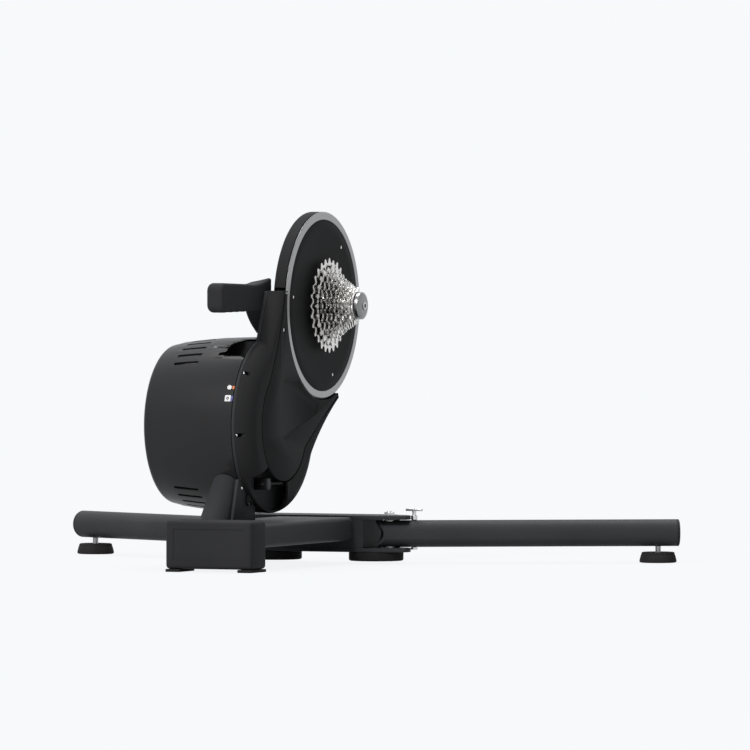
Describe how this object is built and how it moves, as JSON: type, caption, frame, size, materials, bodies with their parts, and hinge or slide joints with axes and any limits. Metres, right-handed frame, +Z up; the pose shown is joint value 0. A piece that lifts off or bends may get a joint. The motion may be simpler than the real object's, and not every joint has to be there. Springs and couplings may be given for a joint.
{
  "type": "direct drive bike trainer",
  "caption": "Indoor trainer that a bicycle clamps on in place of its rear wheel, with a belt-driven flywheel drum, a cassette and folding legs.",
  "frame": {"origin": "centre of the footprint at floor level, with the legs open", "axes": "+X to the bicycle's drive side (right), +Y forwards along the bicycle, +Z up"},
  "size_m": [0.8272, 0.5488, 0.4371],
  "materials": {
    "black_paint": "satin",
    "black_plastic": "satin",
    "black_rubber": "matte",
    "zinc_steel": "bright",
    "sprocket_steel": "bright",
    "bare_aluminium": "satin",
    "grey_iron": "machined",
    "white_nylon": "matte",
    "copper": "satin",
    "board_green": "satin"
  },
  "bodies": {
    "base": {"base_beam": "black_paint", "front_bracket": "black_paint", "frame_plate": "black_paint", "strut": "black_paint", "rear_block": "black_plastic", "belt_housing": "black_plastic", "belt_cover": "black_plastic", "belt_guard": "black_plastic", "handle": "black_plastic", "drum_cover": "black_plastic", "power_inlet": "black_plastic", "rear_pad_left": "black_rubber", "rear_pad_right": "black_rubber", "bracket_pad_left": "black_rubber", "bracket_pad_right": "black_rubber", "belt": "black_rubber", "pivot_bolt_left": "zinc_steel", "pivot_bolt_right": "zinc_steel", "pivot_nut_left": "zinc_steel", "pivot_nut_right": "zinc_steel", "tension_bolt": "zinc_steel", "tension_block": "zinc_steel", "axle": "zinc_steel", "axle_cap_left": "zinc_steel", "axle_cap_right": "zinc_steel", "shaft_bearing_left": "zinc_steel", "shaft_bearing_right": "zinc_steel", "hub_bearing_inner": "zinc_steel", "hub_bearing_outer": "zinc_steel", "brake_coil": "copper", "circuit_board": "board_green"},
    "leg_left": {"leg_left": "black_paint", "leg_cap_left": "black_plastic", "pivot_sleeve_left": "white_nylon", "lock_nut_left": "zinc_steel"},
    "leg_right": {"leg_right": "black_paint", "leg_cap_right": "black_plastic", "pivot_sleeve_right": "white_nylon", "lock_nut_right": "zinc_steel"},
    "foot_left": {"levelling_foot_left": "black_rubber", "levelling_stud_left": "zinc_steel"},
    "foot_right": {"levelling_foot_right": "black_rubber", "levelling_stud_right": "zinc_steel"},
    "knob_left": {"lock_knob_left": "zinc_steel"},
    "knob_right": {"lock_knob_right": "zinc_steel"},
    "hub": {"drive_pulley": "bare_aluminium", "pulley_cover": "black_plastic"},
    "freewheel": {"freehub_body": "bare_aluminium", "cassette_large": "sprocket_steel", "cassette_middle": "sprocket_steel", "cassette_small": "sprocket_steel", "lockring": "zinc_steel"},
    "spindle": {"flywheel": "grey_iron", "flywheel_shaft": "zinc_steel", "belt_pulley_small": "bare_aluminium"},
    "button": {"status_button": "black_plastic"}
  },
  "joints": [
    {"name": "leg_fold_left", "type": "hinge", "parent": "base", "child": "leg_left", "pos_m": [-0.089, 0.08459, 0.0372], "axis": [0, 0, 1], "range_deg": [0, 119]},
    {"name": "foot_screw_left", "type": "slide", "parent": "leg_left", "child": "foot_left", "axis": [0, 0, -1], "range_m": [-0.003, 0.008]},
    {"name": "knob_turn_left", "type": "hinge", "parent": "leg_left", "child": "knob_left", "pos_m": [-0.11603, 0.09957, 0.0372], "axis": [0, 0, 1], "continuous": true},
    {"name": "leg_fold_right", "type": "hinge", "parent": "base", "child": "leg_right", "pos_m": [0.089, 0.08459, 0.0372], "axis": [0, 0, -1], "range_deg": [0, 119]},
    {"name": "foot_screw_right", "type": "slide", "parent": "leg_right", "child": "foot_right", "axis": [0, 0, -1], "range_m": [-0.003, 0.008]},
    {"name": "knob_turn_right", "type": "hinge", "parent": "leg_right", "child": "knob_right", "pos_m": [0.11603, 0.09957, 0.0372], "axis": [0, 0, 1], "continuous": true},
    {"name": "hub_spin", "type": "hinge", "parent": "base", "child": "hub", "pos_m": [0, 0.04559, 0.3209], "axis": [-1, 0, 0], "continuous": true},
    {"name": "freewheel_spin", "type": "hinge", "parent": "base", "child": "freewheel", "pos_m": [0, 0.04559, 0.3209], "axis": [-1, 0, 0], "continuous": true},
    {"name": "flywheel_spin", "type": "hinge", "parent": "base", "child": "spindle", "pos_m": [0, -0.08091, 0.1756], "axis": [-1, 0, 0], "continuous": true},
    {"name": "button_press", "type": "slide", "parent": "base", "child": "button", "axis": [0, 0.8949, -0.4462], "range_m": [0, 0.001], "stiffness_N_per_m": 300}
  ],
  "couplings": [
    {"joint": "hub_spin", "follows": "flywheel_spin", "ratio": 0.1985}
  ]
}
